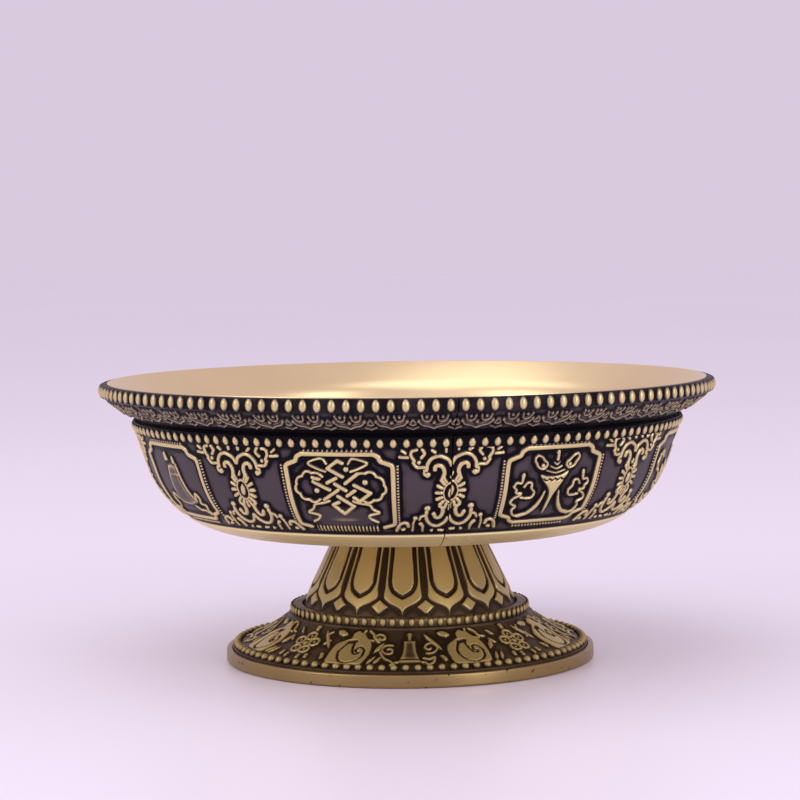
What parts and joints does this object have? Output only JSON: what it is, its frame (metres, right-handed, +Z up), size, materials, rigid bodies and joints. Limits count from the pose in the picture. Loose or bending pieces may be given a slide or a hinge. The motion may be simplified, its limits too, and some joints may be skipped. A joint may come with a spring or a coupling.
{
  "type": "offering bowl",
  "caption": "Wide shallow brass offering bowl with beaded flared rim and framed relief wall, on a hollow lotus pedestal with flared base.",
  "frame": {"origin": "middle of the base ring's underside, on the surface that the bowl stands on", "axes": "+Z up along the bowl's axis, -Y toward the front panel, +X to the right of someone facing it"},
  "size_m": [0.12, 0.12, 0.055],
  "materials": {
    "bowl_satin": "satin spun brass, fine concentric lines",
    "relief_antique": "antiqued brass, dark in the recesses and worn bright on the relief",
    "foot_antique": "antiqued brass, olive brown in the recesses and worn on the edges",
    "ring_satin": "turned satin brass with small casting pits",
    "fastener_brass": "plain machined brass"
  },
  "bodies": {
    "root": {"bowl_liner": "bowl_satin", "rim_strip": "relief_antique", "wall_strip": "relief_antique", "lotus_pedestal": "foot_antique", "base_skirt": "foot_antique", "base_ring": "ring_satin", "foot_stud": "fastener_brass", "washer": "fastener_brass", "nut": "fastener_brass"}
  },
  "joints": []
}
